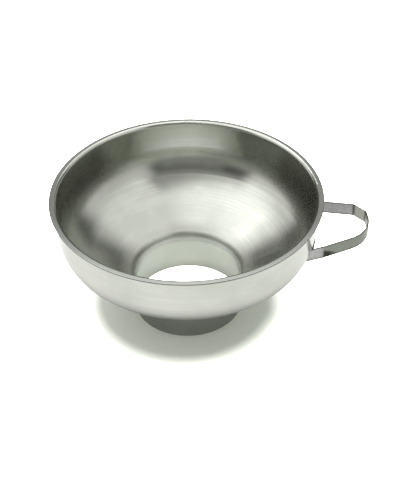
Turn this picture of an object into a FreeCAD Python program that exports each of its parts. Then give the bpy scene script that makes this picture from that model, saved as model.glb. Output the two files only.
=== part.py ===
import FreeCAD, Part
import math
import os

# Canning funnel: a wide drawn steel bowl, a short neck that drops into a jar's mouth,
# and a loop of steel strip at one side as a handle.
# Millimetres. The origin is the centre of the neck's lower end, +Z runs up the funnel's
# axis and the handle points along +X.

Vector = FreeCAD.Vector
AXIS_START = Vector(0, 0, 0)
AXIS_UP = Vector(0, 0, 1)

# ---- driving dimensions ----
SHEET = 0.7                 # thickness of the bowl's and the neck's steel
HEIGHT = 68.2               # neck's lower end to the top of the rim
RIM_RADIUS = 66.5           # outside of the flat out-turned rim
WALL_RADIUS = 63.5          # outside of the bowl's upright wall
WALL_DEPTH = 15.2           # rim top to where the wall starts to curve in
SHOULDER_RADIUS = 19.5      # first, tighter curve under the wall
SHOULDER_TURN = 46.0        # degrees turned by the first curve
BELLY_RADIUS = 42.0         # second, gentler curve
BELLY_TURN = 62.0           # degrees from upright where the curves end and the cone starts
RIM_BEND = 0.9              # outside radius of the bend under the rim
NECK_RADIUS = 27.6          # outside of the neck
NECK_BEND = 3.0             # outside radius of the bend from cone to neck
LIP_END = 17.0              # height at which the bowl's turned-down lip stops
SEAM_WIDTH = 0.8            # height of the butt weld between lip and collar
SEAM_CROWN = 0.12           # how far the weld stands proud of the neck's outside
EDGE_BREAK = 0.15           # rounding of the collar's lower edges

STRAP_THICK = 0.8
STRAP_WIDTH = 7.0
STRAP_TOP = 47.9            # upper edge of the handle strip
STRAP_EDGE = 0.25           # rounding of the strip's long edges
TAB_START = 9.5             # degrees from +X at which each welded tab ends
TAB_REACH = 26.0            # degrees from +X past which neither leg meets the wall
SPOT_RADIUS = 1.7           # weld nuggets that hold each tab
SPOT_DEPTH = 0.35           # how far a nugget reaches into the bowl's sheet
SPOT_DIMPLE = 0.12          # how far the electrode leaves the nugget below the tab's face
SPOT_ANGLES = (12.0, 15.6)  # degrees from +X of the two nuggets in each tab

# Centre line of the handle strip seen from above, as corners with their bend radii:
# two creases at the rear, one wide bend round the front and a slight set near the wall.
# The first and last lie inside the bowl, where the strip is trimmed to the wall.
STRAP_CORNERS = (
    (52.0, 22.0, 0.0),
    (84.6, 16.1, 1.8),
    (89.9, 10.2, 2.2),
    (91.2, -6.0, 17.0),
    (66.5, -16.9, 8.0),
    (52.0, -21.7, 0.0),
)


def polar(radius, degrees):
    """Offset in a plane, radius long, degrees below the outward direction."""
    turn = math.radians(degrees)
    return radius * math.cos(turn), -radius * math.sin(turn)


def arc(centre, radius, start, end):
    """Arc edge in the XZ plane between two angles in degrees."""
    points = []
    for degrees in (start, (start + end) / 2, end):
        turn = math.radians(degrees)
        points.append(Vector(centre[0] + radius * math.cos(turn), 0,
                             centre[1] + radius * math.sin(turn)))
    return Part.Arc(*points).toShape()


def line(start, end):
    return Part.makeLine(Vector(start[0], 0, start[1]), Vector(end[0], 0, end[1]))


def ends(edge):
    """First and last point of an edge as (radius, height) pairs, in drawing order."""
    first = edge.valueAt(edge.FirstParameter)
    last = edge.valueAt(edge.LastParameter)
    return (first.x, first.z), (last.x, last.z)


# ---- centres of the bowl section's curves ----
shoulder_centre = (WALL_RADIUS - SHOULDER_RADIUS, HEIGHT - WALL_DEPTH)
step_x, step_z = polar(SHOULDER_RADIUS - BELLY_RADIUS, SHOULDER_TURN)
belly_centre = (shoulder_centre[0] + step_x, shoulder_centre[1] + step_z)
rim_centre = (WALL_RADIUS + RIM_BEND, HEIGHT - SHEET - RIM_BEND)

# The cone leaves the belly as its tangent, and a bend inside the corner turns it down.
belly_x, belly_z = polar(BELLY_RADIUS, BELLY_TURN)
cone_top = (belly_centre[0] + belly_x, belly_centre[1] + belly_z)
cone_fall = 1 / math.tan(math.radians(BELLY_TURN))
corner_height = cone_top[1] - (cone_top[0] - NECK_RADIUS) * cone_fall
bend_length = NECK_BEND * math.tan(math.radians(BELLY_TURN) / 2)
neck_centre = (NECK_RADIUS + NECK_BEND, corner_height - bend_length)


def skin(inset):
    """Edges of the bowl's section from rim to lip, inset from the outside surface."""
    edges = []
    if inset > 0:
        rim_start = (RIM_RADIUS - SHEET / 2, HEIGHT)
    else:
        rim_start = (RIM_RADIUS - SHEET / 2, HEIGHT - SHEET)
    bend = arc(rim_centre, RIM_BEND + inset, 90, 180)
    edges.append(line(rim_start, ends(bend)[0]))
    edges.append(bend)
    shoulder = arc(shoulder_centre, SHOULDER_RADIUS - inset, 0, -SHOULDER_TURN)
    edges.append(line(ends(bend)[1], ends(shoulder)[0]))
    edges.append(shoulder)
    belly = arc(belly_centre, BELLY_RADIUS - inset, -SHOULDER_TURN, -BELLY_TURN)
    edges.append(belly)
    neck = arc(neck_centre, NECK_BEND + inset, 180 - BELLY_TURN, 180)
    edges.append(line(ends(belly)[1], ends(neck)[0]))
    edges.append(neck)
    edges.append(line(ends(neck)[1], (NECK_RADIUS - inset, LIP_END)))
    return edges


def revolve(edges, degrees=360):
    face = Part.Face(Part.Wire(Part.__sortEdges__(edges)))
    return face.revolve(AXIS_START, AXIS_UP, degrees)


def make_bowl():
    edges = skin(0) + skin(SHEET)
    edges.append(arc((RIM_RADIUS - SHEET / 2, HEIGHT - SHEET / 2), SHEET / 2, 90, -90))
    edges.append(line((NECK_RADIUS - SHEET, LIP_END), (NECK_RADIUS, LIP_END)))
    return revolve(edges)


def make_core():
    """Everything inside the bowl's outside surface, used to trim the handle."""
    edges = skin(0)
    top = (RIM_RADIUS - SHEET / 2, HEIGHT - SHEET)
    edges.append(line(top, (0, HEIGHT - SHEET)))
    edges.append(line((0, HEIGHT - SHEET), (0, LIP_END)))
    edges.append(line((0, LIP_END), (NECK_RADIUS, LIP_END)))
    return revolve(edges)


def make_collar():
    inner = NECK_RADIUS - SHEET
    top = LIP_END - SEAM_WIDTH
    edge = EDGE_BREAK
    return revolve([
        line((inner, edge), (inner, top)),
        line((inner, top), (NECK_RADIUS, top)),
        line((NECK_RADIUS, top), (NECK_RADIUS, edge)),
        arc((NECK_RADIUS - edge, edge), edge, 0, -90),
        line((NECK_RADIUS - edge, 0), (inner + edge, 0)),
        arc((inner + edge, edge), edge, -90, -180),
    ])


def make_seam():
    inner = NECK_RADIUS - SHEET
    low = LIP_END - SEAM_WIDTH
    middle = LIP_END - SEAM_WIDTH / 2
    crown = Part.Arc(Vector(NECK_RADIUS, 0, LIP_END),
                     Vector(NECK_RADIUS + SEAM_CROWN, 0, middle),
                     Vector(NECK_RADIUS, 0, low)).toShape()
    return revolve([
        line((inner, low), (inner, LIP_END)),
        line((inner, LIP_END), (NECK_RADIUS, LIP_END)),
        crown,
        line((NECK_RADIUS, low), (inner, low)),
    ])


def strap_side(shift):
    """One long side of the strip's plan, shift outwards from its centre line."""
    corners = [Vector(x, y, 0) for x, y, radius in STRAP_CORNERS]
    radii = [radius for x, y, radius in STRAP_CORNERS]
    edges = []
    start = None
    for index in range(1, len(corners) - 1):
        corner = corners[index]
        back = (corners[index - 1] - corner).normalize()
        ahead = (corners[index + 1] - corner).normalize()
        opening = back.getAngle(ahead)
        reach = radii[index] / math.tan(opening / 2)
        inward = (back + ahead).normalize()
        centre = corner + inward * (radii[index] / math.sin(opening / 2))
        scale = (radii[index] + shift) / radii[index]
        first = centre + (corner + back * reach - centre) * scale
        middle = centre - inward * (radii[index] + shift)
        last = centre + (corner + ahead * reach - centre) * scale
        if start is None:
            start = corners[0] + (first - (corner + back * reach))
        edges.append(Part.makeLine(start, first))
        edges.append(Part.Arc(first, middle, last).toShape())
        start = last
        final = corners[-1] + (last - (corner + ahead * reach))
    edges.append(Part.makeLine(start, final))
    return edges


def make_loop():
    """The standing strip of the handle, still running through the bowl's wall."""
    outer = strap_side(STRAP_THICK / 2)
    inner = strap_side(-STRAP_THICK / 2)
    edges = outer + inner
    edges.append(Part.makeLine(outer[0].firstVertex().Point, inner[0].firstVertex().Point))
    edges.append(Part.makeLine(outer[-1].lastVertex().Point, inner[-1].lastVertex().Point))
    face = Part.Face(Part.Wire(Part.__sortEdges__(edges)))
    face.translate(Vector(0, 0, STRAP_TOP - STRAP_WIDTH))
    loop = face.extrude(Vector(0, 0, STRAP_WIDTH))
    long_edges = [edge for edge in loop.Edges
                  if abs(edge.firstVertex().Point.z - edge.lastVertex().Point.z) < 0.01
                  and edge.Length > STRAP_THICK * 1.5]
    return loop.makeFillet(STRAP_EDGE, long_edges)


def make_tab_ring(start, end):
    """A band that lies on the bowl's shoulder, between two angles from +X."""
    def crossing(radius, height):
        drop = (shoulder_centre[1] - height) / radius
        return -math.degrees(math.asin(drop))

    low = STRAP_TOP - STRAP_WIDTH
    outside = SHOULDER_RADIUS + STRAP_THICK
    on_wall = arc(shoulder_centre, SHOULDER_RADIUS,
                  crossing(SHOULDER_RADIUS, STRAP_TOP), crossing(SHOULDER_RADIUS, low))
    clear = arc(shoulder_centre, outside,
                crossing(outside, STRAP_TOP), crossing(outside, low))
    top = line(ends(on_wall)[0], ends(clear)[0])
    bottom = line(ends(on_wall)[1], ends(clear)[1])
    band = revolve([on_wall, clear, top, bottom], end - start)
    band.rotate(AXIS_START, AXIS_UP, start)
    return band


def make_strap(core):
    """The handle: one strip whose two ends turn towards each other along the wall."""
    corners = [Vector(x, y, 0) for x, y, radius in STRAP_CORNERS]
    plan = Part.Face(Part.makePolygon(corners + corners[:1]))
    between_legs = plan.extrude(Vector(0, 0, HEIGHT))
    strap = make_loop().cut(core)
    for start, end in ((TAB_START, TAB_REACH), (-TAB_REACH, -TAB_START)):
        strap = strap.fuse(make_tab_ring(start, end).common(between_legs))
    return strap.removeSplitter()


def make_nuggets(side, outer_end):
    """The spot welds of one tab; side is 1 at the rear leg and -1 at the front leg."""
    drop = shoulder_centre[1] - (STRAP_TOP - STRAP_WIDTH / 2)
    tilt = math.asin(drop / SHOULDER_RADIUS)
    nuggets = []
    for degrees in SPOT_ANGLES:
        turn = math.radians(degrees * side)
        normal = Vector(math.cos(tilt) * math.cos(turn),
                        math.cos(tilt) * math.sin(turn),
                        -math.sin(tilt))
        centre = Vector(shoulder_centre[0] * math.cos(turn),
                        shoulder_centre[0] * math.sin(turn),
                        shoulder_centre[1])
        start = SHOULDER_RADIUS - SPOT_DEPTH
        nuggets.append(Part.makeCylinder(SPOT_RADIUS, outer_end - start,
                                         centre + normal * start, normal))
    return Part.makeCompound(nuggets)


def main():
    os.makedirs("parts", exist_ok=True)
    bowl = make_bowl()
    strap = make_strap(make_core())
    nodes = {}
    for name, side in (("front_spot_welds", -1), ("rear_spot_welds", 1)):
        nugget_face = SHOULDER_RADIUS + STRAP_THICK - SPOT_DIMPLE
        nodes[name] = make_nuggets(side, nugget_face)
        bored = make_nuggets(side, SHOULDER_RADIUS + STRAP_THICK * 2)
        bowl = bowl.cut(nodes[name])
        strap = strap.cut(bored)
    nodes["funnel_bowl"] = bowl
    nodes["neck_collar"] = make_collar()
    nodes["neck_weld_seam"] = make_seam()
    nodes["handle_strap"] = strap
    for name, shape in nodes.items():
        shape.exportStep("parts/" + name + ".step")
        print(name, "valid" if shape.isValid() else "NOT VALID", len(shape.Solids), "solids",
              round(shape.Volume, 1), "mm3")
    print("cone meets neck at", round(corner_height, 2), "straight bore ends at",
          round(neck_centre[1], 2))


main()
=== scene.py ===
import math
from collections import namedtuple

import bpy
from mathutils import Matrix, Vector


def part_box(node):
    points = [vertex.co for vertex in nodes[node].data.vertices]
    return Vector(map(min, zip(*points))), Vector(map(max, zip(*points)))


# Studio and materials for a steel canning funnel. Metres, +Z up; the origin is the
# centre of the neck's lower end and the handle points along +X.

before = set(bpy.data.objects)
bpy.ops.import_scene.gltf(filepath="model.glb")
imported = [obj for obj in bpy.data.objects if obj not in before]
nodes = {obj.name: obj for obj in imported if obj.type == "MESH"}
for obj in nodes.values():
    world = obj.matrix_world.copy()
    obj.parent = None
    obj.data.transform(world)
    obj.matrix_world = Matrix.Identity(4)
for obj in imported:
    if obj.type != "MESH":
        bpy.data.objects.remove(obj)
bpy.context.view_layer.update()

rim_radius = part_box("funnel_bowl")[1].y
rim_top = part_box("funnel_bowl")[1].z
neck_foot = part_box("neck_collar")[0].z
neck_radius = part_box("neck_collar")[1].y
strap_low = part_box("handle_strap")[0].z
strap_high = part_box("handle_strap")[1].z

MM = 0.001


# ---------------------------------------------------------------- camera

CAMERA_DISTANCE = 0.5526      # from the middle of the rim
CAMERA_ELEVATION = 36.75      # degrees above the rim's plane
CAMERA_AIM = Vector((0.0063, 0.0, 0.0385))
CAMERA_ROLL = 0.57            # degrees, right side up
CAMERA_LENS = 85.2


def add_camera():
    rise = math.radians(CAMERA_ELEVATION)
    data = bpy.data.cameras.new("camera")
    data.lens = CAMERA_LENS
    camera = bpy.data.objects.new("camera", data)
    bpy.context.scene.collection.objects.link(camera)
    camera.location = (0.0, -CAMERA_DISTANCE * math.cos(rise),
                       rim_top + CAMERA_DISTANCE * math.sin(rise))
    look = (CAMERA_AIM - camera.location).to_track_quat("-Z", "Y").to_matrix()
    roll = Matrix.Rotation(math.radians(-CAMERA_ROLL), 3, "Z")
    camera.rotation_euler = (look @ roll).to_euler()
    bpy.context.scene.camera = camera


# ---------------------------------------------------------------- node helpers

def feed(tree, socket, value):
    """Link a socket to another, or set it to a plain value."""
    if isinstance(value, bpy.types.NodeSocket):
        tree.links.new(value, socket)
    else:
        socket.default_value = value


def calc(tree, operation, *values):
    """A Math node; returns its output."""
    node = tree.nodes.new("ShaderNodeMath")
    node.operation = operation
    for socket, value in zip(node.inputs, values):
        feed(tree, socket, value)
    return node.outputs[0]


def ramp(tree, value, low, high, to_low, to_high, smooth=False):
    """Map a value from low..high to to_low..to_high, clamped."""
    node = tree.nodes.new("ShaderNodeMapRange")
    if smooth:
        node.interpolation_type = "SMOOTHSTEP"
    names = ("Value", "From Min", "From Max", "To Min", "To Max")
    for name, number in zip(names, (value, low, high, to_low, to_high)):
        feed(tree, node.inputs[name], number)
    return node.outputs["Result"]


def rising(tree, value, low, high, most=1.0):
    """0 up to low, then growing to most at high."""
    return ramp(tree, value, low, high, 0.0, most)


def falling(tree, value, low, high, most=1.0, smooth=False):
    """most up to low, then shrinking to 0 at high."""
    return ramp(tree, value, low, high, most, 0.0, smooth)


def blend(tree, mask, first, second):
    """Colour that goes from first to second as mask goes from 0 to 1."""
    node = tree.nodes.new("ShaderNodeMix")
    node.data_type = "RGBA"
    feed(tree, node.inputs["Factor"], mask)
    for name, colour in (("A", first), ("B", second)):
        if not isinstance(colour, bpy.types.NodeSocket):
            colour = (*colour, 1.0)
        socket = next(item for item in node.inputs if item.name == name and item.type == "RGBA")
        feed(tree, socket, colour)
    return next(item for item in node.outputs if item.type == "RGBA")


def dot(tree, direction, fixed):
    """How far a direction agrees with a fixed one: 1 where they are the same."""
    node = tree.nodes.new("ShaderNodeVectorMath")
    node.operation = "DOT_PRODUCT"
    tree.links.new(direction, node.inputs[0])
    node.inputs[1].default_value = fixed
    return node.outputs["Value"]


def place_of(tree):
    """x, y, z of the surface point in the object's own frame, and the point itself."""
    coordinates = tree.nodes.new("ShaderNodeTexCoord").outputs["Object"]
    split = tree.nodes.new("ShaderNodeSeparateXYZ")
    tree.links.new(coordinates, split.inputs[0])
    return split.outputs[0], split.outputs[1], split.outputs[2], coordinates


def join_axes(tree, x, y, z):
    node = tree.nodes.new("ShaderNodeCombineXYZ")
    for socket, value in zip(node.inputs, (x, y, z)):
        feed(tree, socket, value)
    return node.outputs[0]


def noise(tree, vector, scale, detail, rough, fourth=None):
    """Noise texture in three dimensions, or in four where fourth is given."""
    node = tree.nodes.new("ShaderNodeTexNoise")
    feed(tree, node.inputs["Vector"], vector)
    if fourth is not None:
        node.noise_dimensions = "4D"
        feed(tree, node.inputs["W"], fourth)
    node.inputs["Scale"].default_value = scale
    node.inputs["Detail"].default_value = detail
    node.inputs["Roughness"].default_value = rough
    return node.outputs["Fac"]


# ---------------------------------------------------------------- steel

STEEL_PALE = (0.580, 0.593, 0.545)
STEEL_DEEP = (0.462, 0.477, 0.425)
NECK_PALE = (0.520, 0.553, 0.478)
NECK_DEEP = (0.440, 0.470, 0.398)
STRAP_PALE = (0.440, 0.440, 0.432)
STRAP_DEEP = (0.350, 0.354, 0.342)
# Dark grain of the strip, and painted shade on the front of the loop.
STRAP_GRAIN_AND_SHADE = (0.215, 0.230, 0.192)
# Painted reflection: the pale inside of the facet at the rear bend.
BEND_PAINTED_REFLECTION = (0.93, 0.94, 0.88)
# Random dark specks, and painted shade at the rear creases and along the strip's edges.
DARK_SPECKS_AND_SHADE = (0.10, 0.105, 0.095)
# Painted shade: the rim's thin outer edge is painted this dark, for the shadow and dark reflection
# there.
RIM_EDGE_SHADE = (0.16, 0.165, 0.15)
# Painted shade on the front leg's lower part, beside the wall.
LEG_PAINTED_SHADE = (0.030, 0.032, 0.028)
WELD_PALE = (0.46, 0.46, 0.42)
WELD_DEEP = (0.34, 0.335, 0.30)
RIM_DULL = (0.460, 0.470, 0.438)
WORN_BRIGHT = (0.60, 0.605, 0.56)

CLOUDS_PER_METRE = 42.0       # slow variation of colour and gloss over all the steel
SCUFFS_PER_METRE = 900.0      # fine wear that breaks up a worn edge
QUARTER_TURN = 0.25           # of a full turn, as the shader counts its rotation


class Steel:
    """A metal material that is built up step by step."""

    def __init__(self, name, pale, deep):
        self.material = bpy.data.materials.new(name)
        self.material.use_nodes = True
        self.tree = self.material.node_tree
        self.shader = self.tree.nodes["Principled BSDF"]
        self.shader.inputs["Metallic"].default_value = 1.0
        self.x, self.y, self.z, self.point = place_of(self.tree)
        level = calc(self.tree, "MULTIPLY", self.x, self.x)
        level = calc(self.tree, "MULTIPLY_ADD", self.y, self.y, level)
        self.radius = calc(self.tree, "SQRT", level)
        clouds = self.speckle(CLOUDS_PER_METRE, detail=4.0, rough=0.55)
        self.clouds = rising(self.tree, clouds, 0.35, 0.65)
        self.colour = blend(self.tree, self.clouds, pale, deep)
        self.height = 0.0
        self.roughness = 0.0

    def speckle(self, scale, detail, rough):
        """Noise that is the same in every direction, scale cells to the metre."""
        return noise(self.tree, self.point, scale, detail, rough)

    def round_grain(self, pitch, run):
        """Streaks round the axis: pitch across them, run times the radius along them."""
        across = 1.0 / pitch
        along_x = calc(self.tree, "DIVIDE", self.x, calc(self.tree, "MULTIPLY", self.radius, run))
        along_y = calc(self.tree, "DIVIDE", self.y, calc(self.tree, "MULTIPLY", self.radius, run))
        outward = calc(self.tree, "MULTIPLY", self.radius, across)
        upward = calc(self.tree, "MULTIPLY", self.z, across)
        vector = join_axes(self.tree, along_x, along_y, outward)
        return noise(self.tree, vector, 1.0, detail=3.0, rough=0.6, fourth=upward)

    def level_grain(self, pitch, run):
        """Streaks that lie level, on an upright strip: pitch across them, run along them."""
        vector = join_axes(self.tree, calc(self.tree, "DIVIDE", self.x, run),
                           calc(self.tree, "DIVIDE", self.y, run),
                           calc(self.tree, "DIVIDE", self.z, pitch))
        return noise(self.tree, vector, 1.0, detail=3.0, rough=0.6)

    def near(self, value, edge, reach):
        """1 at an edge, fading to 0 at a distance of reach, broken up by fine scuffs."""
        gap = calc(self.tree, "ABSOLUTE", calc(self.tree, "SUBTRACT", value, edge))
        mask = falling(self.tree, gap, reach * 0.25, reach, smooth=True)
        scuffs = self.speckle(SCUFFS_PER_METRE, detail=3.0, rough=0.6)
        return calc(self.tree, "MULTIPLY", mask, ramp(self.tree, scuffs, 0.3, 0.6, 0.35, 1.0))

    def tint(self, mask, colour):
        self.colour = blend(self.tree, mask, self.colour, colour)

    def add_height(self, value, amount):
        """Raise the surface by amount metres where value is 1."""
        self.height = calc(self.tree, "MULTIPLY_ADD", value, amount, self.height)

    def add_roughness(self, value, low, high):
        """Roughness that follows a noise value, from low to high."""
        part = ramp(self.tree, value, 0.3, 0.7, low, high)
        self.roughness = calc(self.tree, "ADD", part, self.roughness)

    def shift_roughness(self, amount):
        self.roughness = calc(self.tree, "ADD", self.roughness, amount)

    def brush(self, anisotropy):
        """Brushed round the axis, so that a highlight spreads up and down the wall."""
        tangent = self.tree.nodes.new("ShaderNodeTangent")
        tangent.direction_type = "RADIAL"
        tangent.axis = "Z"
        self.tree.links.new(tangent.outputs[0], self.shader.inputs["Tangent"])
        self.shader.inputs["Anisotropic"].default_value = anisotropy
        self.shader.inputs["Anisotropic Rotation"].default_value = QUARTER_TURN

    def finish(self):
        bump = self.tree.nodes.new("ShaderNodeBump")
        bump.inputs["Strength"].default_value = 1.0
        bump.inputs["Distance"].default_value = 1.0
        feed(self.tree, bump.inputs["Height"], self.height)
        self.tree.links.new(bump.outputs[0], self.shader.inputs["Normal"])
        feed(self.tree, self.shader.inputs["Base Color"], self.colour)
        feed(self.tree, self.shader.inputs["Roughness"], self.roughness)
        return self.material


# ---------------------------------------------------------------- bowl and neck

SHEET_ROUGHNESS = 0.225
SHEET_ANISOTROPY = 0.82
FINE_RELIEF = 0.0009 * MM     # heights of the fine grain, the broader rings and the slow waves
RING_RELIEF = 0.0004 * MM
WAVE_RELIEF = 0.006 * MM
WAVES_PER_METRE = 55.0

# The flat rim and its thin outer edge, which is painted dark as painted shade: how far in from the
# outside each starts and is full.
FLANGE_START = 2.6 * MM
FLANGE_FULL = 1.9 * MM
RIM_EDGE_START = 0.40 * MM
RIM_EDGE_FULL = 0.15 * MM

# The metal is rougher where the cone turns down into the neck, as if stretched there.
THROAT_OUT = 1.5 * MM         # middle of the rougher band, outside the neck's radius
THROAT_FULL = 1.0 * MM        # half widths at which it is full and gone
THROAT_GONE = 6.0 * MM
THROAT_ROUGHER = 0.16         # added to the roughness

# The upright wall is polished a little smoother: heights below the rim.
POLISH_START = 22.0 * MM
POLISH_FULL = 14.0 * MM
POLISH_SMOOTHER = -0.055      # added to the roughness

NECK_WORN_REACH = 0.7 * MM
SEAM_RIPPLES_PER_METRE = 1400.0
SEAM_RELIEF = 0.003 * MM


def sheet_steel(name, pale, deep):
    """The satin, spun sheet of the bowl and of the neck."""
    steel = Steel(name, pale, deep)
    fine = steel.round_grain(pitch=0.26 * MM, run=0.35)
    rings = steel.round_grain(pitch=0.75 * MM, run=1.2)
    steel.tint(rising(steel.tree, fine, 0.40, 0.68, most=0.55), deep)
    steel.tint(rising(steel.tree, rings, 0.40, 0.64, most=0.50), deep)
    steel.add_height(fine, FINE_RELIEF)
    steel.add_height(rings, RING_RELIEF)
    steel.add_height(steel.speckle(WAVES_PER_METRE, detail=1.0, rough=0.4), WAVE_RELIEF)
    steel.add_roughness(fine, SHEET_ROUGHNESS - 0.015, SHEET_ROUGHNESS + 0.025)
    steel.add_roughness(steel.clouds, -0.012, 0.012)
    return steel


def bowl_steel():
    steel = sheet_steel("bowl_steel", STEEL_PALE, STEEL_DEEP)
    tree = steel.tree
    flange = rising(tree, steel.radius, rim_radius - FLANGE_START, rim_radius - FLANGE_FULL)
    steel.tint(flange, RIM_DULL)
    # Painted shade: the thin outer edge of the rim is painted dark.
    rim_edge_shade = rising(tree, steel.radius, rim_radius - RIM_EDGE_START,
                      rim_radius - RIM_EDGE_FULL, most=0.8)
    steel.tint(rim_edge_shade, RIM_EDGE_SHADE)
    from_throat = calc(tree, "SUBTRACT", steel.radius, neck_radius + THROAT_OUT)
    from_throat = calc(tree, "ABSOLUTE", from_throat)
    stretched = falling(tree, from_throat, THROAT_FULL, THROAT_GONE, most=THROAT_ROUGHER)
    steel.shift_roughness(stretched)
    polished = rising(tree, steel.z, rim_top - POLISH_START, rim_top - POLISH_FULL,
                      most=POLISH_SMOOTHER)
    steel.shift_roughness(polished)
    steel.brush(SHEET_ANISOTROPY)
    return steel.finish()


def neck_steel():
    steel = sheet_steel("neck_steel", NECK_PALE, NECK_DEEP)
    steel.tint(steel.near(steel.z, neck_foot, NECK_WORN_REACH), WORN_BRIGHT)
    steel.brush(SHEET_ANISOTROPY)
    return steel.finish()


def seam_steel():
    """A weld ground flush: nearly the neck's own steel, with a fine ripple left in it."""
    steel = sheet_steel("seam_steel", NECK_PALE, NECK_DEEP)
    ripple = steel.speckle(SEAM_RIPPLES_PER_METRE, detail=2.0, rough=0.5)
    steel.tint(rising(steel.tree, ripple, 0.45, 0.7, most=0.35), WELD_PALE)
    steel.add_height(ripple, SEAM_RELIEF)
    steel.brush(SHEET_ANISOTROPY)
    return steel.finish()


# ---------------------------------------------------------------- handle

STRAP_ANISOTROPY = 0.8
STRAP_SPECKS_PER_METRE = 1100.0
STRAP_WAVES_PER_METRE = 120.0
STRAP_GRAIN_RELIEF = 0.0012 * MM
STRAP_WAVE_RELIEF = 0.010 * MM
# Painted shade along the strip's edges: how far the dark upper edge reaches, and where the dark
# lower edge is full and gone.
UPPER_EDGE_REACH = 0.55 * MM
LOWER_EDGE_FULL = 0.5 * MM    # above the strip's lower edge
LOWER_EDGE_GONE = 1.3 * MM

# Painted shade: the front of the loop is painted darker, for the darker reflection it shows. The
# span in y over which that fades towards the rear, and the span in x over which it starts outside
# the wall.
FRONT_SHADE_FADE_Y = (-8.0 * MM, 4.0 * MM)
FRONT_SHADE_START_X = (64.5 * MM, 66.5 * MM)

# Two upright creases at the rear, as (x, y), painted dark as painted shade, and the short facet
# between them, whose inside is painted pale as a painted reflection.
REAR_CREASES = ((0.0846, 0.0161), (0.0899, 0.0102))
CREASE_REACH = 0.9 * MM
FACET_START_X = (84.6 * MM, 85.4 * MM)
FACET_START_Y = (9.6 * MM, 10.6 * MM)
FACET_ROUGHER = 0.15          # added to the roughness
INTO_THE_LOOP = (-0.744, -0.668, 0.0)     # the way the facet's inside faces

# Painted shade: the front leg's lower part is painted dark beside the wall, for the dark
# reflection there, and less far up as the leg runs out.
LEG_SHADE_START_X = (65.4 * MM, 66.4 * MM)
LEG_SHADE_FADE_X = (69.0 * MM, 74.0 * MM)
LEG_SHADE_SLOPE_X = (66.0 * MM, 74.0 * MM)
LEG_SHADE_RISE = (4.6 * MM, 1.0 * MM)        # above the strip's lower edge, at the slope's two ends
LEG_SHADE_SOFT = 0.6 * MM
LEG_SHADE_FADE_Y = (-13.0 * MM, -11.0 * MM)


def faces(tree, way):
    """1 where the surface faces that way, 0 where it doesn't."""
    normal = tree.nodes.new("ShaderNodeNewGeometry").outputs["True Normal"]
    return rising(tree, dot(tree, normal, way), 0.5, 0.8)


def upright_line(steel, x, y, reach):
    """Strong on an upright line through (x, y), fading to 0 at a distance of reach."""
    aside = calc(steel.tree, "SUBTRACT", steel.x, x)
    along = calc(steel.tree, "SUBTRACT", steel.y, y)
    away = calc(steel.tree, "MULTIPLY", aside, aside)
    away = calc(steel.tree, "SQRT", calc(steel.tree, "MULTIPLY_ADD", along, along, away))
    return falling(steel.tree, away, reach * 0.4, reach, most=0.8, smooth=True)


# Where the painted shade on the front leg's lower part lies.
def leg_shade_mask(steel):
    tree = steel.tree
    beside_wall = calc(tree, "MULTIPLY", rising(tree, steel.x, *LEG_SHADE_START_X),
                       falling(tree, steel.x, *LEG_SHADE_FADE_X))
    top = ramp(tree, steel.x, *LEG_SHADE_SLOPE_X, *(strap_low + rise for rise in LEG_SHADE_RISE))
    below_top = rising(tree, calc(tree, "SUBTRACT", top, steel.z), -LEG_SHADE_SOFT, LEG_SHADE_SOFT)
    in_front = falling(tree, steel.y, *LEG_SHADE_FADE_Y)
    return calc(tree, "MULTIPLY", calc(tree, "MULTIPLY", beside_wall, below_top), in_front)


def strap_steel():
    steel = Steel("strap_steel", STRAP_PALE, STRAP_DEEP)
    tree = steel.tree
    grain = steel.level_grain(pitch=0.12 * MM, run=14.0 * MM)
    # Painted shade: the front of the loop is painted darker.
    front_shade = falling(tree, steel.y, *FRONT_SHADE_FADE_Y, smooth=True)
    front_shade = calc(tree, "MULTIPLY", front_shade, rising(tree, steel.x, *FRONT_SHADE_START_X, most=0.9))
    steel.tint(front_shade, STRAP_GRAIN_AND_SHADE)
    steel.tint(rising(tree, grain, 0.42, 0.72, most=0.30), STRAP_GRAIN_AND_SHADE)
    specks = steel.speckle(STRAP_SPECKS_PER_METRE, detail=3.0, rough=0.6)
    steel.tint(rising(tree, specks, 0.38, 0.62, most=0.38), DARK_SPECKS_AND_SHADE)
    # Painted shade: the strip's upper and lower edges are painted dark, for the dark reflections
    # there.
    steel.tint(steel.near(steel.z, strap_high, UPPER_EDGE_REACH), DARK_SPECKS_AND_SHADE)
    under_shade = falling(tree, steel.z, strap_low + LOWER_EDGE_FULL, strap_low + LOWER_EDGE_GONE)
    steel.tint(calc(tree, "MULTIPLY", under_shade, 0.9), DARK_SPECKS_AND_SHADE)
    # Painted reflection: the inside of the facet between the rear creases is painted pale, and it
    # is made rougher.
    facet = calc(tree, "MULTIPLY", rising(tree, steel.x, *FACET_START_X),
                 rising(tree, steel.y, *FACET_START_Y))
    steel.tint(calc(tree, "MULTIPLY", facet, faces(tree, INTO_THE_LOOP)), BEND_PAINTED_REFLECTION)
    # Painted shade: the rear creases are painted dark.
    for crease_x, crease_y in REAR_CREASES:
        steel.tint(upright_line(steel, crease_x, crease_y, CREASE_REACH), DARK_SPECKS_AND_SHADE)
    # Painted shade on the front leg's lower part.
    steel.tint(leg_shade_mask(steel), LEG_PAINTED_SHADE)
    steel.add_height(grain, STRAP_GRAIN_RELIEF)
    waves = steel.speckle(STRAP_WAVES_PER_METRE, detail=1.0, rough=0.4)
    steel.add_height(waves, STRAP_WAVE_RELIEF)
    steel.add_roughness(grain, 0.29, 0.36)
    steel.shift_roughness(calc(tree, "MULTIPLY", facet, FACET_ROUGHER))
    steel.brush(STRAP_ANISOTROPY)
    return steel.finish()


# ---------------------------------------------------------------- spot welds

WELD_RIPPLES_PER_METRE = 1600.0
WELD_RELIEF = 0.020 * MM


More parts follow.
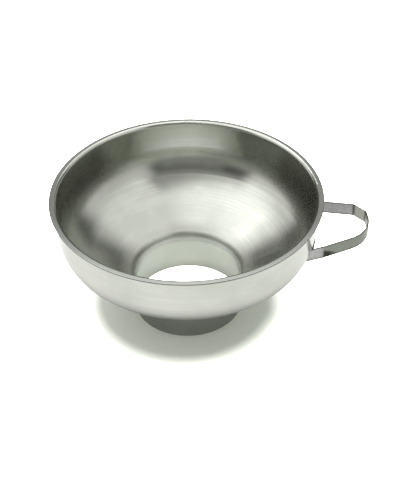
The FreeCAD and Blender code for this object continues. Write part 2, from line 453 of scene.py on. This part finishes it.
def weld_steel():
    steel = Steel("weld_steel", WELD_PALE, WELD_DEEP)
    ripple = steel.speckle(WELD_RIPPLES_PER_METRE, detail=3.0, rough=0.55)
    steel.tint(rising(steel.tree, ripple, 0.45, 0.7, most=0.6), WELD_DEEP)
    steel.add_height(ripple, WELD_RELIEF)
    steel.add_roughness(ripple, 0.34, 0.46)
    return steel.finish()


def paint_nodes():
    bowl = bowl_steel()
    neck = neck_steel()
    strap = strap_steel()
    seam = seam_steel()
    weld = weld_steel()
    finishes = {"funnel_bowl": bowl, "neck_collar": neck, "neck_weld_seam": seam,
                "handle_strap": strap, "front_spot_welds": weld, "rear_spot_welds": weld}
    for name, material in finishes.items():
        mesh = nodes[name].data
        mesh.materials.clear()
        mesh.materials.append(material)


# ---------------------------------------------------------------- floor

FLOOR_SIZE = 6.0
FLOOR_SEEN = (0.95, 0.98, 0.90)       # the paper's albedo as the camera sees it
FLOOR_MIRRORED = (0.16, 0.16, 0.16)   # and as the steel reflects it
FLOOR_BOUNCE = 0.15                   # light that the steel finds even in the shadow
FLOOR_LIGHT = 19.5                    # a soft light from nearly straight above, for the floor only
FLOOR_LIGHT_SPREAD = 47.0             # degrees across
FLOOR_LIGHT_TILT = (1.5, 2.0)         # degrees about X and Y, away from straight down


def add_floor():
    bpy.ops.mesh.primitive_plane_add(size=FLOOR_SIZE)
    floor = bpy.context.object
    floor.name = "floor"
    material = bpy.data.materials.new("floor_paper")
    material.use_nodes = True
    tree = material.node_tree
    shader = tree.nodes["Principled BSDF"]
    seen = tree.nodes.new("ShaderNodeLightPath").outputs["Is Camera Ray"]
    tree.links.new(blend(tree, seen, FLOOR_MIRRORED, FLOOR_SEEN), shader.inputs["Base Color"])
    shader.inputs["Emission Color"].default_value = (1.0, 1.0, 1.0, 1.0)
    bounce = falling(tree, seen, 0.0, 1.0, most=FLOOR_BOUNCE)
    tree.links.new(bounce, shader.inputs["Emission Strength"])
    shader.inputs["Roughness"].default_value = 1.0
    shader.inputs["Specular IOR Level"].default_value = 0.0
    floor.data.materials.append(material)
    return floor


def add_floor_light(floor):
    """Lights the floor but not the steel, so the funnel's shadow stays close to it."""
    data = bpy.data.lights.new("floor_light", "SUN")
    data.energy = FLOOR_LIGHT
    data.angle = math.radians(FLOOR_LIGHT_SPREAD)
    lamp = bpy.data.objects.new("floor_light", data)
    bpy.context.scene.collection.objects.link(lamp)
    lamp.rotation_euler = [math.radians(angle) for angle in (*FLOOR_LIGHT_TILT, 0.0)]
    takers = bpy.data.collections.new("floor_light_takers")
    takers.objects.link(floor)
    lamp.light_linking.receiver_collection = takers


# ---------------------------------------------------------------- studio light

# Soft boxes and cards on a sphere round the object. Angles are in degrees: azimuth from
# +X (the handle) towards +Y (away from the camera), elevation from the floor up. level is
# the radiance inside the patch, and edge is half the width of its soft border.
Round = namedtuple("Round", "azimuth elevation radius edge level")
Card = namedtuple("Card", "azimuth elevation half_width half_height edge level")

OVERHEAD_BOX = Round(150.0, 72.0, 33.0, 8.0, 1.78)
BACK_BOX = Card(105.0, 60.0, 48.0, 15.0, 8.0, 2.6)
BACK_LOW = Card(90.0, 35.0, 34.0, 10.0, 6.0, 0.45)
BACK_STRIP = Card(90.0, 48.0, 38.0, 8.0, 3.0, 1.5)
LEFT_CARD = Card(173.0, 20.0, 36.0, 27.0, 8.0, 1.0)
LEFT_BOX = Card(160.0, 50.0, 42.0, 15.0, 8.0, 1.60)
RIGHT_CARD = Card(-14.0, 24.0, 42.0, 28.0, 8.0, 0.85)
RIGHT_BOX = Card(12.0, 58.0, 54.0, 20.0, 8.0, 1.20)
FRONT_FILL = Card(-100.0, 58.0, 50.0, 12.0, 6.0, 0.48)
FRONT_GREY = Card(-95.0, 22.0, 30.0, 12.0, 6.0, 0.30)
LOW_ROOM = Card(-60.0, 3.0, 125.0, 11.0, 6.0, 0.75)
CARDS = (BACK_BOX, BACK_LOW, BACK_STRIP, LEFT_CARD, LEFT_BOX, RIGHT_CARD, RIGHT_BOX, FRONT_FILL,
         FRONT_GREY, LOW_ROOM)
ROOM = 0.07                   # radiance of the room wherever nothing else shines


def window(tree, offset, half, edge):
    """1 while offset, in radians, is well within half, 0 well past it; half, edge in degrees."""
    size = calc(tree, "ABSOLUTE", offset)
    half = math.radians(half)
    edge = math.radians(edge)
    return falling(tree, size, half - edge, half + edge, smooth=True)


def heading(azimuth, elevation):
    """Unit vector towards a place on the sky, from degrees."""
    turn = math.radians(azimuth)
    rise = math.radians(elevation)
    return (math.cos(rise) * math.cos(turn), math.cos(rise) * math.sin(turn), math.sin(rise))


def round_patch(tree, direction, place):
    """A round soft-edged patch of sky."""
    towards = dot(tree, direction, heading(place.azimuth, place.elevation))
    away = calc(tree, "ARCCOSINE", towards)
    return calc(tree, "MULTIPLY", window(tree, away, place.radius, place.edge), place.level)


def card_patch(tree, azimuth, elevation, card):
    """A soft-edged patch of sky with straight sides."""
    aside = calc(tree, "SUBTRACT", azimuth, math.radians(card.azimuth))
    aside = calc(tree, "WRAP", aside, math.pi, -math.pi)
    above = calc(tree, "SUBTRACT", elevation, math.radians(card.elevation))
    wide = window(tree, aside, card.half_width, card.edge)
    high = window(tree, above, card.half_height, card.edge)
    return calc(tree, "MULTIPLY", calc(tree, "MULTIPLY", wide, high), card.level)


def add_studio_light():
    world = bpy.data.worlds.new("studio")
    bpy.context.scene.world = world
    world.use_nodes = True
    tree = world.node_tree
    background = tree.nodes["Background"]
    direction = tree.nodes.new("ShaderNodeTexCoord").outputs["Generated"]
    split = tree.nodes.new("ShaderNodeSeparateXYZ")
    tree.links.new(direction, split.inputs[0])
    azimuth = calc(tree, "ARCTAN2", split.outputs["Y"], split.outputs["X"])
    elevation = calc(tree, "ARCSINE", split.outputs["Z"])
    light = calc(tree, "MAXIMUM", ROOM, round_patch(tree, direction, OVERHEAD_BOX))
    for card in CARDS:
        light = calc(tree, "MAXIMUM", light, card_patch(tree, azimuth, elevation, card))
    tree.links.new(light, background.inputs["Strength"])
    background.inputs["Color"].default_value = (1.0, 1.0, 1.0, 1.0)


add_camera()
paint_nodes()
add_floor_light(add_floor())
add_studio_light()
bpy.context.scene.view_settings.view_transform = "Standard"
